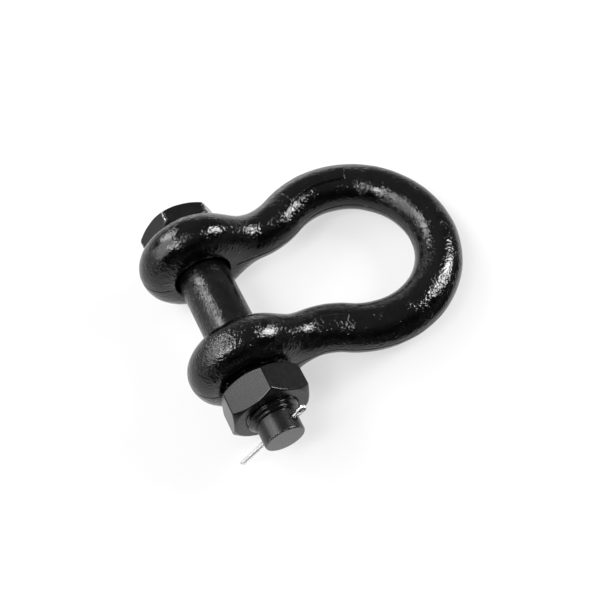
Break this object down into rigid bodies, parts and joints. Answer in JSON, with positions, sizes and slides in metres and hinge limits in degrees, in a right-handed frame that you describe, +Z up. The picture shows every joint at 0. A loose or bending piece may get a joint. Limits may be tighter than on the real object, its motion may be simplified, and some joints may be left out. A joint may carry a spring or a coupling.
{
  "type": "bow shackle",
  "caption": "Bolt-type bow shackle: black forged bow with round ears, hex-head bolt across the jaw, hex nut and split cotter pin.",
  "frame": {"origin": "on the bolt's axis, midway between the two ears", "axes": "+Y along the bolt from nut to head, +X towards the crown, +Z up as the shackle lies on its two ears and its crown"},
  "size_m": [0.1656, 0.1392, 0.0608],
  "materials": {
    "bow_paint": "gloss black paint over a pitted forged skin",
    "bolt_black": "thin semi-gloss black coating on turned steel",
    "nut_oxide": "satin black oxide with a fine brushed grain",
    "zinc": "bright zinc-plated wire"
  },
  "bodies": {
    "bow": {"bow": "bow_paint"},
    "bolt": {"bolt": "bolt_black"},
    "nut": {"nut": "nut_oxide"},
    "cotter_pin": {"cotter_pin": "zinc"}
  },
  "joints": [
    {"name": "bolt_turn", "type": "hinge", "parent": "bow", "child": "bolt", "pos_m": [0, 0, 0], "axis": [0, 1, 0], "range_deg": [0, 540]},
    {"name": "nut_run", "type": "slide", "parent": "bow", "child": "nut", "axis": [0, -1, 0], "range_m": [0, 0.0045]},
    {"name": "cotter_pull", "type": "slide", "parent": "bolt", "child": "cotter_pin", "axis": [0.8007, 0, 0.599], "range_m": [0, 0.045]}
  ],
  "couplings": [
    {"joint": "nut_run", "follows": "bolt_turn", "m_per_rad": 0.00047746}
  ]
}
